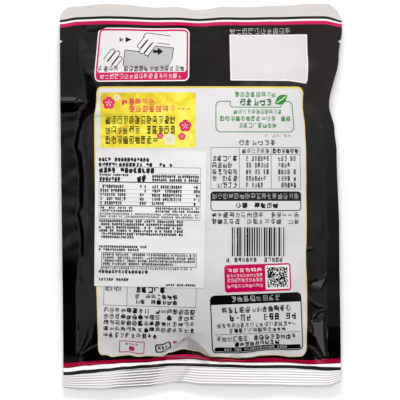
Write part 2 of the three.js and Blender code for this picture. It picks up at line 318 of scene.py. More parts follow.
PANEL_FIELDS = (
    (-57.2, 57.4, -85.15, 59.9, 4.2, BORDER_INK),
    (-56.6, 56.9, -84.9, 58.9, 3.8, PANEL_INK),
    # A lighter magenta over the bottom band at the pinch: a painted highlight where the pinch's bulge
    # catches the light
    (-19, 4.2, -88.5, -86.65, 0, PINCH_HIGHLIGHT_INK),
)
GUIDE_BLOCK = {
    "middle": (-31.7, 77), "turn": 0.4,
    "leans": (0.1, 0.015),
    "fields": (
        (-24.3, 25.5, -14.4, 14.7, 2.8, WHITE_INK),
        (-23.7, 24.9, -13.8, 14.1, 2.4, MAGENTA_INK),
        (-22.8, 24, -9.4, 13.1, 1.4, SKETCH_PAPER),
    ),
    "text": (
        (-22.4, 23.1, -5.8, 1, 3.3, 2.75, DARK_INK, THIN),
        (-21.2, 22, -10.1, 1, 2.9, 2.6, WHITE_INK, FINE),
    ),
}
GUIDE_POUCH = {
    "middle": (-29.5, 75), "turn": -7,
    "fields": (
        (-11.8, 12.6, -5.4, 3.4, 0.2, SKETCH_INK),
        (-11.4, 12.2, -5.8, 3, 0.1, SKETCH_GREY),
        (1, 14.2, 0.6, 7.6, 0.2, SKETCH_INK),
        (1.4, 13.8, -1.6, 7.2, 0.1, SKETCH_GREY),
    ),
}
HAND_FIELDS = (
    (-4.6, 4.6, -1.6, 1.4, 1.5, SKETCH_INK),
    (-5.6, 4.2, -1.2, 1, 1.1, SKETCH_PAPER),
    (-4.8, 3, -4.2, -1.6, 1.3, SKETCH_INK),
    (-5.8, 2.6, -3.8, -2, 0.9, SKETCH_PAPER),
    (-4.6, 3.8, 1.4, 4, 1.3, SKETCH_INK),
    (-5.6, 3.4, 1.8, 3.6, 0.9, SKETCH_PAPER),
)
GUIDE_LEFT_HAND = {"middle": (-46.6, 75.4), "turn": 52, "fields": HAND_FIELDS}
GUIDE_RIGHT_HAND = {"middle": (-29.6, 81.2), "turn": 232, "fields": HAND_FIELDS}
GUIDE_PALM = {
    "middle": (-24.4, 85.8), "turn": -8,
    "fields": (
        (-6.6, 9.6, -2.4, 3, 2.6, SKETCH_INK),
        (-6.2, 10, -2, 2.6, 2.2, SKETCH_PAPER),
    ),
}
GUIDE_ARROWS = {
    "middle": (-31.7, 77), "turn": 0.4,
    "fields": ((6, 8.7, 0.9, 2.5, 0, DARK_INK),),
    "arrowheads": (
        (-11.8, 8.2, 2.2, 1.35, GREY_INK),
        (-8.6, 8.2, 3.3, 1.45, DARK_INK),
        (8.6, 1.7, 2.8, 2.2, DARK_INK),
    ),
}
DATE_BLOCK = {
    "middle": (36.6, 75.4), "turn": -0.3,
    "leans": (-0.028, -0.092),
    "fields": (
        (-21, 21.3, -12.4, 12.7, 0.2, WHITE_INK),
        (-20.4, 20.7, -11.9, 12.2, 0.2, DATE_INK),
    ),
    "text": ((-20.8, 13, 16.5, 1, 3.6, 3.4, "#B5B2B1", FINE),),
}
DATE_CORNER = {
    "middle": (52.5, 63.9), "turn": -8,
    "fields": (
        (-8, 6.1, -1.5, 2, 0.1, WHITE_INK),
        (-8, 5.5, -1, 3, 0.1, DATE_INK),
    ),
}
CARD_BLOCK = {
    "text": (
        (-42.5, -24.2, 53.5, 1, 3.7, 3.6, RED_INK, THIN),
        (-38.4, -13.4, 49.8, 1, 3.9, 3.6, RED_INK, THIN),
        (-12.8, -5.4, 48.3, 1, 0.9, 2.6, RED_INK, PLAIN),
        (-51.1, -13.4, 44.2, 3, 5.35, 3.1, "#1E1206", THIN, -22.6),
    ),
}
NOTE_BLOCK = {
    "fields": (
        (7.8, 51.1, 35.2, 52.1, 2.8, GREEN_INK),
        (8.3, 50.6, 35.7, 51.6, 2.4, PANEL_INK),
        (15.6, 44.6, 48.5, 53, 1.5, GREEN_INK),
        (16, 44.2, 48.95, 54, 1.2, PANEL_INK),
    ),
    "text": (
        (18.3, 41.4, 57.1, 1, 3.1, 3, GREEN_INK, THIN),
        (21, 39.2, 53.4, 1, 3.9, 3.5, DEEP_GREEN_INK, BOLD),
        (17.5, 44.6, 47.6, 1, 2.6, 2.45, GREEN_INK, THIN),
        (10.2, 49.5, 44.1, 1, 3, 2.8, GREEN_INK, THIN),
        (20.2, 41.4, 40.3, 1, 2.8, 2.6, GREEN_INK, THIN),
        (34.4, 49.5, 34.4, 1, 2.2, 2.1, GREY_INK, FINE),
    ),
}
LEAF = {
    "middle": (44.3, 52.8), "turn": 33,
    "length": 8.4,
    "width": 5,
    "ink": "#1F8423",
    "vein": "#D9E6CF",
}
TABLE_BLOCK = {
    "fields": (
        (5.2, 54.1, 4.8, 27.3, 0, GREY_INK),
        (5.5, 20.4, 5.1, 27, 0, PANEL_INK),
        *((20.7, 37.7, *height, 0, PANEL_INK) for height in ((23.6, 27), (5.1, 23.3))),
        *((38, 53.8, *height, 0, PANEL_INK) for height in ((23.6, 27), (5.1, 23.3))),
        (5.1, 54.2, -6.9, 3.6, 1.9, DARK_INK),
        (5.6, 53.7, -6.4, -1.5, 1.4, PANEL_INK),
        (5.6, 53.7, -3, -1.5, 0, PANEL_INK),
    ),
    "text": (
        (20.2, 40.9, 31.3, 1, 3.1, 3.3, DARK_INK, THIN),
        (22, 37.1, 26.7, 1, 2.8, 2.5, DARK_INK, THIN),
        (38.7, 53.2, 26.7, 1, 2.8, 2.4, DARK_INK, PLAIN),
        (6, 19.9, 22.7, 5, 3.55, 2.8, DARK_INK, PLAIN),
        (24.1, 36.8, 22.7, 5, 3.55, 1.6, DARK_INK, OPEN_THIN, 33.5),
        (41.6, 51.8, 22.7, 5, 3.55, 1.6, DARK_INK, OPEN_THIN),
        (6, 53.2, 2.7, 1, 3.3, 2.9, "#BDBBBA", FINE),
        (18.8, 41.9, -2.4, 1, 3, 3.3, DARK_INK, BOLD),
        (5.6, 53.2, -7.5, 2, 3.5, 3.15, DARK_INK, THIN),
    ),
}
BARCODE_BLOCK = {
    "bars": ((16.5, 45.6, -31.2, -15.6), 1.32, DARK_INK),
    "text": (
        (13.5, 15.5, -31.6, 1, 2.7, 2, DARK_INK, OPEN_THIN),
        (17.9, 30.2, -31.6, 1, 2.7, 2.05, DARK_INK, OPEN_THIN),
        (31.9, 44.2, -31.6, 1, 2.7, 2.05, DARK_INK, OPEN_THIN),
    ),
}
CODE_BLOCK = {
    "middle": (30.5, -42.7), "turn": 1.9,
    "fields": (
        (-17.9, 17.9, -7.4, 7.4, 1.6, MAGENTA_INK),
        (4.1, 17.1, -6.4, 6.5, 0.5, WHITE_INK),
        (-16.5, 2.8, -2, -1.8, 0, "#D98CB0"),
    ),
    "cells": ((5.1, 16.1, -5.4, 5.5), 0.46, DARK_INK),
    "text": (
        (-16.5, 2.8, 5.4, 1, 2.1, 3.2, WHITE_INK, THIN),
        (-16.5, 2.8, 2.6, 1, 2, 1.75, WHITE_INK, FINE),
        (-16.5, 2.8, 0.2, 1, 1.9, 1.9, WHITE_INK, FINE),
        (-16.5, 2.8, -3.1, 1, 2, 1.9, WHITE_INK, FINE),
    ),
}
CONTACT_BLOCK = {
    "middle": (29.9, -66.4), "turn": 2.3,
    "fields": (
        (-24.6, 24.6, -16, 15.1, 2.6, DARK_INK),
        (-24, 24, -15.4, 8, 2.2, PANEL_INK),
        (-24, 24, 0, 10, 0, PANEL_INK),
        (-22.8, 22.8, -6.3, -6, 0, GREY_INK),
        (-23.2, 23.2, -15.2, -12.9, 1.1, DARK_INK),
    ),
    "text": (
        (-13.4, 14, 14.4, 1, 3.3, 3.4, "#C6C4C4", FINE),
        (-18.4, 19, 8.5, 1, 3.4, 3.2, DARK_INK, PLAIN),
        (-21.3, -16, 4, 1, 3.6, 5.2, DARK_INK, HEAVY),
        (-14.6, 21.9, 4.6, 1, 4.1, 3, DARK_INK, OPEN_THIN),
        (-21.3, 21.7, -0.1, 1, 2.7, 2.55, DARK_INK, THIN),
        (-14.8, 15.8, -3.1, 1, 2.5, 2.5, DARK_INK, PLAIN),
        (-21.8, 21.2, -7, 1, 3, 2.9, DARK_INK, PLAIN),
        (-12.1, 12.1, -10.2, 1, 2.5, 2.7, DARK_INK, BOLD),
        (-18, 16, -13.4, 1, 1.4, 1.35, "#A5A3A2", OPEN_THIN),
    ),
}
MAKER_BLOCK = {
    "middle": (-27.7, -60), "turn": -1.5,
    "fields": (
        (-25, 25, 1.8, 14.5, 0, GREY_INK),
        (-24.7, -12.4, 2.1, 14.3, 0, PANEL_INK),
        (-12.1, 24.7, 2.1, 14.3, 0, PANEL_INK),
    ),
    "text": (
        (-24.2, -14.8, 12.4, 1, 2.8, 3.9, GREY_INK, THIN),
        (-7.8, 8.9, 12.7, 1, 3.6, 3.3, DARK_INK, HEAVY),
        (-7.8, 15.3, 8.4, 2, 2.95, 2.75, DARK_INK, BOLD),
        (-24.7, 25, 0.8, 5, 3.37, 3.05, DARK_INK, PLAIN, 5.1),
    ),
}
SEAL_MARK_BLOCK = {
    "middle": (-37.3, -80.2), "turn": -3,
    "fields": (
        (-6.9, 6.9, -3.3, 3.3, 0.2, PLUM_INK),
        (-6.4, 6.4, -2.8, 2.8, 0.2, PANEL_INK),
        (-1.6, 1.6, -2.3, 0.3, 1.2, PLUM_INK),
    ),
    "text": ((-3.6, 3.6, 2.2, 1, 1.4, 1.6, GREY_INK, PLAIN),),
}
MATERIAL_MARK_BLOCK = {
    "middle": (-20.4, -80.6), "turn": 6,
    "fields": (
        (-4.3, 4.3, -2.3, 2.3, 1.2, DARK_INK),
        (-3.5, 3.5, -1.6, 1.6, 0.8, PANEL_INK),
        (5.4, 7.6, 0.2, 2, 0.5, PINK_INK),
    ),
    "text": (
        (-2.9, 2.9, 1.2, 1, 2.2, 1.9, DARK_INK, PLAIN),
        (8.6, 12.2, 2.2, 1, 1.6, 1.8, GREY_INK, PLAIN),
    ),
}

# The gold card on the panel, and the blossoms on it: (u, v, radius, petals, stamens)
GOLD_CARD = (-53.8, -2.7, 26.9, 56.7, 1.3)
GOLD_STOPS = ((0.3, "#D2B31E"), (0.42, "#E0CA2A"), (0.55, "#E9DB3C"), (0.68, "#EBE25C"))
BLOSSOMS = (
    (-49.3, 51, 3.4, *ROSE),
    (-8.4, 38.7, 3.3, *ROSE),
    (-16.8, 31.4, 3.3, *CREAM),
    (-45, 54, 1.8, *CREAM),
    (-21.8, 33.3, 1.7, *ROSE),
    (-10.2, 33, 2, *ROSE),
)

LABEL_BLOCK = {
    "fields": (
        (-27.6, 27, 27.45, 27.7, 0, GREY_INK),
        (3.2, 26.8, 23.95, 24.2, 0, GREY_INK),
        (-27.4, 26.9, 19.2, 19.75, 0, DARK_INK),
        *((-27.4, 26.9, low, low + 0.15, 0, GREY_INK) for low in (15.5, 13.25, 11.05, 8.85)),
        (-27.4, 26.9, 6.6, 7.05, 0, DARK_INK),
        (-27.4, 26.9, -0.5, -0.2, 0, GREY_INK),
        (-27.6, -27.4, -0.5, 19.7, 0, GREY_INK),
        (26.8, 27, -0.5, 27.7, 0, GREY_INK),
        (-25.9, 25.4, -25.8, -18.2, 0, DARK_INK),
        (-25.6, 25.1, -25.5, -18.5, 0, "#DAD8D8"),
    ),
    "text": (
        (-27.8, -0.6, 32.6, 1, 2.2, 1.75, DARK_INK, OPEN_HEAVY),
        (-27.8, 12, 29.9, 1, 2.1, 1.8, DARK_INK, OPEN_BOLD),
        (-27.5, 2.3, 27.2, 1, 2.9, 2.25, DARK_INK, OPEN_BOLD),
        (-27.3, -11.7, 23.9, 1, 1.3, 1.05, DARK_INK, OPEN_PLAIN),
        (-27.3, -16, 22.2, 1, 2.4, 1.65, DARK_INK, OPEN_HEAVY),
        (-7.1, -2.1, 23.4, 1, 3.7, 2.5, DARK_INK, OPEN_HEAVY),
        (1, 26.2, 23.6, 2, 1.95, 1.15, DARK_INK, OPEN_BOLD),
        (-26.8, -13, 18.1, 5, 2.22, 1.15, DARK_INK, OPEN_PLAIN, -15),
        (-5.5, -2, 18.1, 5, 2.22, 1.15, DARK_INK, OPEN_PLAIN),
        (1, 17, 18.1, 5, 2.22, 1.15, DARK_INK, OPEN_PLAIN, 7.5),
        (23.4, 26.8, 18.1, 5, 2.22, 1.15, DARK_INK, OPEN_PLAIN, 24.6),
        (-26.8, -9, 6.3, 2, 1.55, 1.15, DARK_INK, OPEN_PLAIN),
        (3, 26.6, 6.3, 2, 1.55, 1.15, DARK_INK, OPEN_PLAIN),
        (-27, 26, 3, 2, 1.4, 0.95, GREY_INK, OPEN_PLAIN),
        (-27.3, 18, -0.7, 6, 1.72, 1.15, DARK_INK, OPEN_BOLD, -8.4),
        (-27.3, -1.5, -14.5, 2, 1.6, 1.2, DARK_INK, OPEN_BOLD, -5.5),
        (-25, 24.6, -18.7, 4, 1.65, 1, DARK_INK, OPEN_PLAIN, 13),
        (-27.3, 23.3, -25.9, 1, 1.5, 1.2, DARK_INK, OPEN_THIN),
        (-27.3, -0.4, -27.6, 1, 2, 1.75, DARK_INK, OPEN_PLAIN),
        (-27.3, -10.9, -32, 1, 1.7, 1.4, DARK_INK, OPEN_PLAIN),
        (9.3, 25.4, -34.6, 1, 1.3, 1.15, DARK_INK, OPEN_BOLD),
    ),
}

# Stretches of the back film that carry a print of their own: (left, right, bottom, top) and what is
# printed there. Their borders run where the print on both sides is plain.
STRETCHES = {
    "opening_guide": (
        (-75, 2, 61.5, 92.9),
        (GUIDE_BLOCK, GUIDE_POUCH, GUIDE_LEFT_HAND, GUIDE_PALM, GUIDE_RIGHT_HAND, GUIDE_ARROWS),
    ),
    "date_field": ((2, 75, 60.5, 92.9), (DATE_BLOCK, DATE_CORNER)),
    "gold_card": ((-55.5, 1, 25, 58), (CARD_BLOCK,)),
    "green_note": ((1, 55.5, 31.9, 58), (NOTE_BLOCK,)),
    "food_table": ((1, 55.5, -15.2, 31.9), (TABLE_BLOCK,)),
    "codes_and_contact": ((1, 56, -84, -15.2), (BARCODE_BLOCK, CODE_BLOCK, CONTACT_BLOCK)),
    "maker_note": ((-56, 1, -84, -45), (MAKER_BLOCK, SEAL_MARK_BLOCK, MATERIAL_MARK_BLOCK)),
}


# ---------------------------------------------------------------- the shape of the full pouch


def smooth(value, start, end):
    """0 at start and 1 at end, with an easy curve between."""
    part = np.clip((value - start) / (end - start), 0, 1)
    return part * part * (3 - 2 * part)


def span(value, start, whole, past, end):
    """0 up to start, 1 from whole to past and 0 again from end."""
    return smooth(value, start, whole) * (1 - smooth(value, past, end))


def along(points, at, column=1):
    """A column's value at each place along a curve that eases through its points."""
    places = np.array([point[0] for point in points], float)
    values = np.array([point[column] for point in points], float)
    after = np.clip(np.searchsorted(places, at, side="right"), 1, len(places) - 1)
    part = smooth(at, places[after - 1], places[after])
    return values[after - 1] + (values[after] - values[after - 1]) * part


def round_corner(u, v):
    """Draws the top corners of the flat bag in to arcs: a corner's square goes to a quarter disc."""
    radius = np.where(u < 0, LEFT_CORNER, RIGHT_CORNER)
    across = np.clip(np.abs(u) - (HALF_WIDTH - radius), 0, None)
    up = np.clip(v - (TOP_EDGE - radius), 0, None)
    inside = (across > 0) & (up > 0)
    round_across = across * np.sqrt(1 - up**2 / (2 * radius**2))
    round_up = up * np.sqrt(1 - across**2 / (2 * radius**2))
    return (
        np.where(inside, np.sign(u) * (HALF_WIDTH - radius + round_across), u),
        np.where(inside, TOP_EDGE - radius + round_up, v),
    )


def level_line(points, at, reach=3):
    """A height along straight stretches between points, whose corners are eased over a reach."""
    places, heights = np.array(points, float).T
    return sum(np.interp(at + step, places, heights) for step in (-reach, 0, reach)) / 3


def puckered(u, v):
    """How far the puckers over the bottom seal draw a place up."""
    shift = np.zeros_like(u)
    for (upper, above), (lower, below) in zip(BOTTOM_PUCKERS, BOTTOM_PUCKERS[1:]):
        part = (upper - v) / (upper - lower)
        between = (1 - part) * along(above, u) + part * along(below, u)
        shift = np.where((part >= 0) & (part <= 1), between, shift)
    return shift


def in_plan(flat_u, flat_v):
    """Where places on the flat bag are, seen from above the full pouch."""
    u, v = round_corner(flat_u, flat_v)
    towards_edge = (np.abs(u) / HALF_WIDTH) ** 3
    edge = np.where(u < 0, along(LEFT_EDGE, v), along(RIGHT_EDGE, v))
    notch = NOTCH_DEPTH * np.clip(1 - np.abs(v - NOTCH_PLACE) / NOTCH_HALF_WIDTH, 0, None)
    in_notch = smooth(np.abs(u), HALF_WIDTH - 2 * NOTCH_DEPTH, HALF_WIDTH)
    x = u + edge * towards_edge - np.sign(u) * notch * in_notch
    towards_top = along(TOP_WAVE_SHARE, v)
    droop = TOP_DROOP * smooth(np.abs(u), HALF_WIDTH - 10, HALF_WIDTH) * span(v, *DROOP_SPAN)
    y = v + along(TOP_WAVE, u) * towards_top - droop + puckered(u, v)
    return x, y


def fullness(u, v):
    """How full the pouch is at a place, from 0 in the seals to 1 in the middle."""
    body = HALF_WIDTH - SIDE_SEAL
    to_left = np.clip((WALL_SHARE * along(LEFT_WALL, v) - u) / body, 0, 1)
    to_right = np.clip(u / body, 0, 1)
    across = np.where(u < 0, 1 - to_left**LEFT_ROUND, (1 - to_right**2) ** RIGHT_ROUND)
    low, high = BOTTOM_EDGE + BOTTOM_SEAL + PLAIN_SEAL, TOP_EDGE - TOP_SEAL
    to_end = np.clip(np.abs(2 * v - low - high) / (high - low), 0, 1)
    return across * (1 - to_end**END_ROUND)


def seal_plane(u, v):
    """The height of the surface that the seals lie in, which waves towards both ends."""
    left, right = level_line(LEFT_SEAL, v), level_line(RIGHT_SEAL, v)
    across = smooth(u, 10 - HALF_WIDTH, HALF_WIDTH - 10)
    end = smooth(np.abs(v), 45, TOP_EDGE) * smooth(HALF_WIDTH - np.abs(u), SIDE_SEAL, 30)
    wave = SEAL_WAVE * np.sin(2 * np.pi * u / END_WAVE_LENGTH)
    return left + (right - left) * across + wave * end


def crimp(u, v):
    """The crimp across the bottom seal, which both films follow."""
    down = np.clip(BOTTOM_EDGE + BOTTOM_SEAL - v, 0, None)
    depth = RIB_HEIGHT * along(CRIMP, u - CRIMP_LEAN * (v - CRIMP_MIDDLE))
    return depth * (1 - np.cos(2 * np.pi * down / RIB_PITCH))


def fold(points, heights, left, right, u, v):
    """A sharp ridge or valley along a line, with a flat flank on each side."""
    best = np.zeros_like(u)
    for (start, end), (low, high) in zip(zip(points, points[1:]), zip(heights, heights[1:])):
        du, dv = end[0] - start[0], end[1] - start[1]
        length = math.hypot(du, dv)
        part = np.clip(((u - start[0]) * du + (v - start[1]) * dv) / length**2, 0, 1)
        off_u, off_v = u - start[0] - part * du, v - start[1] - part * dv
        height = low + (high - low) * part
        flank = np.where(du * off_v - dv * off_u > 0, left, right)
        flank = np.maximum(flank * np.abs(height) / np.abs(heights).max(), 0.01)
        height = height * np.clip(1 - np.hypot(off_u, off_v) / flank, 0, 1)
        best = np.where(np.abs(height) > np.abs(best), height, best)
    return best


def cover(outline, edge, u, v):
    """1 inside an outline and 0 outside it, eased over an edge."""
    low_u, low_v = np.min(outline, axis=0) - edge
    high_u, high_v = np.max(outline, axis=0) + edge
    near = (u > low_u) & (u < high_u) & (v > low_v) & (v < high_v)
    at_u, at_v = u[near], v[near]
    inside = np.zeros(at_u.shape, bool)
    off = np.full(at_u.shape, np.inf)
    for (u0, v0), (u1, v1) in zip(outline, (*outline[1:], outline[0])):
        du, dv = u1 - u0, v1 - v0
        part = np.clip(((at_u - u0) * du + (at_v - v0) * dv) / (du * du + dv * dv), 0, 1)
        off = np.minimum(off, np.hypot(at_u - u0 - part * du, at_v - v0 - part * dv))
        if dv:
            crosses = (at_v < v0) != (at_v < v1)
            inside ^= crosses & (at_u < u0 + (at_v - v0) * du / dv)
    share = np.zeros_like(u)
    share[near] = smooth(np.where(inside, off, -off), -edge / 2, edge / 2)
    return share


def ripples(u, v, length, seed, waves=7):
    """An even, random swell, mostly between -1 and 1, with waves of about one length."""
    rng = np.random.default_rng(seed)
    swell = np.zeros_like(u)
    for turn, phase, stretch in zip(
        rng.uniform(0, np.pi, waves), rng.uniform(0, 2 * np.pi, waves), rng.uniform(0.7, 1.4, waves)
    ):
        way = (u * math.cos(turn) + v * math.sin(turn)) / (length * stretch)
        swell += np.sin(2 * np.pi * way + phase)
    return swell / math.sqrt(waves) / 1.5


def swelled(u, v, swells):
    """How far swells lift the film, which is held still in the seals and close to them."""
    inwards = np.minimum(HALF_WIDTH - np.abs(u), np.minimum(TOP_EDGE - v, v - BOTTOM_EDGE))
    lift = sum(height * ripples(u, v, length, seed) for height, length, seed in swells)
    return lift * smooth(inwards, SIDE_SEAL, SIDE_SEAL + HELD_FILM)


def unfaceted_back(u, v):
    """The height of the back film without its facets."""
    start = SIDE_SEAL - HALF_WIDTH + along(LEFT_WALL, v)
    wall = along(LEFT_WALL, v, 3) * np.clip((u - start) / along(LEFT_WALL, v, 2), 0, 1)
    # The wall's height fades out towards the pouch's middle
    wall *= smooth(-u, 20, 50)
    height = seal_plane(u, v) + SEAL_FILM / 2 + BACK_RISE * fullness(u, v) + wall
    height += swelled(u, v, BACK_SWELLS) + crimp(u, v)
    shoulder = np.exp(-(((u - SHOULDER_MIDDLE) / SHOULDER_WIDTH) ** 2))
    height += SHOULDER_HEIGHT * shoulder * span(v, *SHOULDER_SPAN)
    height += PUCKER_HEIGHT * along(BOTTOM_PUCKERS[1][1], u) * span(v, *PUCKER_SPAN)
    crease_height, length, seed = LEFT_CREASES
    creased = smooth(-u, 64, 66) * span(v, *CREASED_SPAN)
    # Creases are longer across the seal than along it
    height += crease_height * ripples(u * 0.7, v, length, seed) * creased
    for line in FOLDS:
        height += fold(*line, u, v)
    return height


def back_height(u, v):
    """The height of the back film, which faces up, with its facets laid flat."""
    height = unfaceted_back(u, v)
    for outline, slope_across, slope_along, edge in FACETS:
        middle = np.mean(outline, axis=0)
        level = unfaceted_back(*middle[:, None])[0]
        plane = level + slope_across * (u - middle[0]) + slope_along * (v - middle[1])
        height += (plane - height) * cover(outline, edge, u, v)
    return height


def front_height(u, v):
    """The height of the front film, which the floor presses flat. It follows the highest fold alone."""
    height = seal_plane(u, v) - SEAL_FILM / 2 - FRONT_DROP * fullness(u, v) + crimp(u, v)
    height += swelled(u, v, FRONT_SWELLS) + fold(*FOLDS[0], u, v)
    return np.maximum(0, height)


def graded(*stretches):
    """Numbers from the first stretch's start to the last one's end: each is (start, end, step)."""
    places = [stretches[0][0]]
    for start, end, step in stretches:
        count = max(1, round((end - start) / step))
        places += [start + (end - start) * index / count for index in range(1, count + 1)]
    return np.array(places)


def link_object(name, data):
    """A new object in the scene."""
    made = bpy.data.objects.new(name, data)
    bpy.context.scene.collection.objects.link(made)
    return made


def film_sheet(name, columns, rows, place):
    """One closed sheet over a flat grid, which place(u, v, upper) moves to where it lies. Returns it and
    the middles of its faces.

    Its point attribute bag keeps the flat place and the side, 1 on the upper face and -1 below. Where
    the pinch tucks the film under itself, the upper face has less than 1, by the share of painted shade.
    """
    bm = bmesh.new()
    bmesh.ops.create_grid(bm, x_segments=len(columns) - 1, y_segments=len(rows) - 1, size=0.5)
    bmesh.ops.solidify(bm, geom=bm.faces[:], thickness=0.1)
    bmesh.ops.recalc_face_normals(bm, faces=bm.faces)
    for face in bm.faces:
        face.smooth = True
        if abs(face.normal.z) < 0.5:
            for edge in face.edges:
                edge.smooth = False
    mesh = bpy.data.meshes.new(name)
    bm.to_mesh(mesh)
    bm.free()
    co = np.empty(len(mesh.vertices) * 3)
    mesh.vertices.foreach_get("co", co)
    co = co.reshape(-1, 3)
    upper = co[:, 2] > co[:, 2].mean()
    u = columns[np.rint((co[:, 0] + 0.5) * (len(columns) - 1)).astype(int)]
    v = rows[np.rint((co[:, 1] + 0.5) * (len(rows) - 1)).astype(int)]
    mesh.vertices.foreach_set("co", (place(u, v, upper) * MM).ravel())
    # The painted shade on the pinch, as a share from 0 to 1
    painted_shade = sum(share * cover(outline, PINCH_SHADE_EDGE, u, v) for outline, share in PINCH_SHADE_PATCHES)
    bag = np.column_stack((u, v, np.where(upper, 1.0 - painted_shade, -1.0)))
    mesh.attributes.new("bag", "FLOAT_VECTOR", "POINT").data.foreach_set("vector", bag.ravel())
    corners = np.empty(len(mesh.loops), int)
    mesh.loops.foreach_get("vertex_index", corners)
    corners = bag[corners].reshape(-1, 4, 3)
    lay_out_sheet(mesh, corners, columns, rows)
    mesh.update()
    return link_object(name, mesh), corners.mean(axis=1)


def lay_out_sheet(mesh, corners, columns, rows):
    """The sheet's UV map: the upper face on the left, the lower one narrow on the right, the rim
    as a strip between them."""
    across = (corners[..., 0] - columns[0]) / (columns[-1] - columns[0])
    up = (corners[..., 1] - rows[0]) / (rows[-1] - rows[0])
    is_upper, is_lower = corners[..., 2].min(axis=1) > 0, corners[..., 2].max(axis=1) < 0
    x = np.where(is_upper[:, None], across * UPPER_SHARE, LOWER_START + across * (1 - LOWER_START))
    y = up.copy()
    rim = ~is_upper & ~is_lower
    strip = (LOWER_START - UPPER_SHARE) / 4
    x[rim] = UPPER_SHARE + strip * np.where(corners[rim][..., 2] > 0, 1.5, 2.5)
    # Once round the rim, a quarter of the strip's height for each side
    edge_u, edge_v = across[rim], up[rim]
    on_side = edge_u.std(axis=1) < 1e-6
    side = np.where(on_side, np.where(edge_u[:, 0] < 0.5, 0, 1), np.where(edge_v[:, 0] < 0.5, 2, 3))
    way = RIM_GAP + (1 - 2 * RIM_GAP) * np.where(on_side[:, None], edge_v, edge_u)
    y[rim] = (side[:, None] + way) / 4
    uv = mesh.uv_layers.new(name="OFBake")
    uv.data.foreach_set("uv", np.stack((x, y), axis=-1).ravel())


def make_pouch():
    """The film pouch, both films and all the seals as one closed body."""
    crimped = BOTTOM_EDGE + BOTTOM_SEAL
    columns = graded(
        (-HALF_WIDTH, -70, 0.8), (-70, -57, 0.36), (-57, -50, 0.9), (-50, -22, 1.6),
        (-22, -10, 0.9), (-10, -7.2, 0.35), (-7.2, 28, 1), (28, 50, 1.9), (50, 57, 0.9),
        (57, 70, 0.4), (70, HALF_WIDTH, 0.8),
    )
    notch_start, notch_end = NOTCH_PLACE - NOTCH_HALF_WIDTH, NOTCH_PLACE + NOTCH_HALF_WIDTH
    rows = graded(
        (BOTTOM_EDGE, crimped, 0.3), (crimped, -84, 0.4), (-84, -64, 0.75), (-64, -42, 0.45),
        (-42, -29.2, 1.7), (-29.2, -25.2, 0.5), (-25.2, 36, 1.7), (36, 62, 0.55),
        (62, notch_start, 1.2), (notch_start, notch_end, 0.4), (notch_end, TOP_EDGE, 1),
    )

    def place(u, v, upper):
        x, y = in_plan(u, v)
        return np.column_stack((x, y, np.where(upper, back_height(u, v), front_height(u, v))))

    piece, middles = film_sheet("film_pouch", columns, rows, place)
    materials = piece.data.materials
    materials.append(film_material("front", panel=False))
    materials.append(film_material("back"))
    stretch_of = (middles[:, 2] > 0).astype(int)
    for index, (name, ((left, right, bottom, top), blocks)) in enumerate(STRETCHES.items(), 2):
        materials.append(film_material(name, blocks))
        inside = (middles[:, 0] > left) & (middles[:, 0] < right)
        inside &= (middles[:, 1] > bottom) & (middles[:, 1] < top) & (middles[:, 2] > 0)
        stretch_of[inside] = index
    piece.data.polygons.foreach_set("material_index", stretch_of)
    return piece


def make_label():
    """The import label, a paper sheet that follows the back film."""
    columns = graded((-LABEL_WIDTH / 2, LABEL_WIDTH / 2, 1))
    rows = graded((-LABEL_LENGTH / 2, LABEL_LENGTH / 2, 1))

    def place(across, up, upper):
        u = LABEL_U + across * math.cos(LABEL_TURN) - up * math.sin(LABEL_TURN)
        v = LABEL_V + across * math.sin(LABEL_TURN) + up * math.cos(LABEL_TURN)
        x, y = in_plan(u, v)
        lift = LABEL_GAP + np.where(upper, LABEL_PAPER, 0)
        return np.column_stack((x, y, back_height(u, v) + lift))

    piece, _ = film_sheet("paper_label", columns, rows, place)
    piece.data.materials.append(paper_material())
    return piece


# ---------------------------------------------------------------- node tools


def linear(hex_colour):
    """An sRGB hex colour as the linear colour that shaders take."""
    parts = [int(hex_colour[i : i + 2], 16) / 255 for i in (1, 3, 5)]
    return (*(p / 12.92 if p <= 0.04045 else ((p + 0.055) / 1.055) ** 2.4 for p in parts), 1)


def add(tree, kind, *values, **settings):
    """Adds a node with its settings. Its kind may name its operation after a point. Values go to its
    sockets in turn, those of a dict to the sockets it names, and a node gives its first live output."""
    kind, _, operation = kind.partition(".")
    node = tree.nodes.new("ShaderNode" + kind)
    if operation:
        node.operation = operation
    for name, value in settings.items():
        setattr(node, name, value)
    sockets = {}
    for index, value in enumerate(values):
        sockets.update(value if isinstance(value, dict) else {index: value})
    for name, value in sockets.items():
        if isinstance(value, bpy.types.Node):
            value = next(output for output in value.outputs if output.enabled)
        if isinstance(value, bpy.types.NodeSocket):
            tree.links.new(value, node.inputs[name])
        else:
            node.inputs[name].default_value = value
    return node


def empty_tree(owner):
    """The node tree of a material or world, with nothing in it."""
    owner.use_nodes = True
    owner.node_tree.nodes.clear()
    return owner.node_tree


def ramp(tree, value, low, high, stops):
    """Colours along a value from low to high, eased between stops: (value, grey or each channel)."""
    node = add(tree, "ValToRGB", add(tree, "MapRange", value, low, high))
    elements = node.color_ramp.elements
    for index, (at, *levels) in enumerate(stops):
        place = (at - low) / (high - low)
        stop = elements[index] if index < 2 else elements.new(place)
        stop.position = place
        stop.color = (*(levels * 3)[:3], 1)
    return node


def all_of(tree, mask, *gates):
    """1 where a mask and all its gates are 1."""
    for gate in gates:
        mask = add(tree, "Math.MULTIPLY", mask, gate)
    return mask


def lay_ink(tree, under, ink, mask):
    """The colour under a print, with ink, a hex colour or a socket, over it where the mask is 1."""
    ink = linear(ink) if isinstance(ink, str) else ink
    return add(tree, "Mix", {0: mask, 6: under, 7: ink}, data_type="RGBA")


# ---------------------------------------------------------------- printing


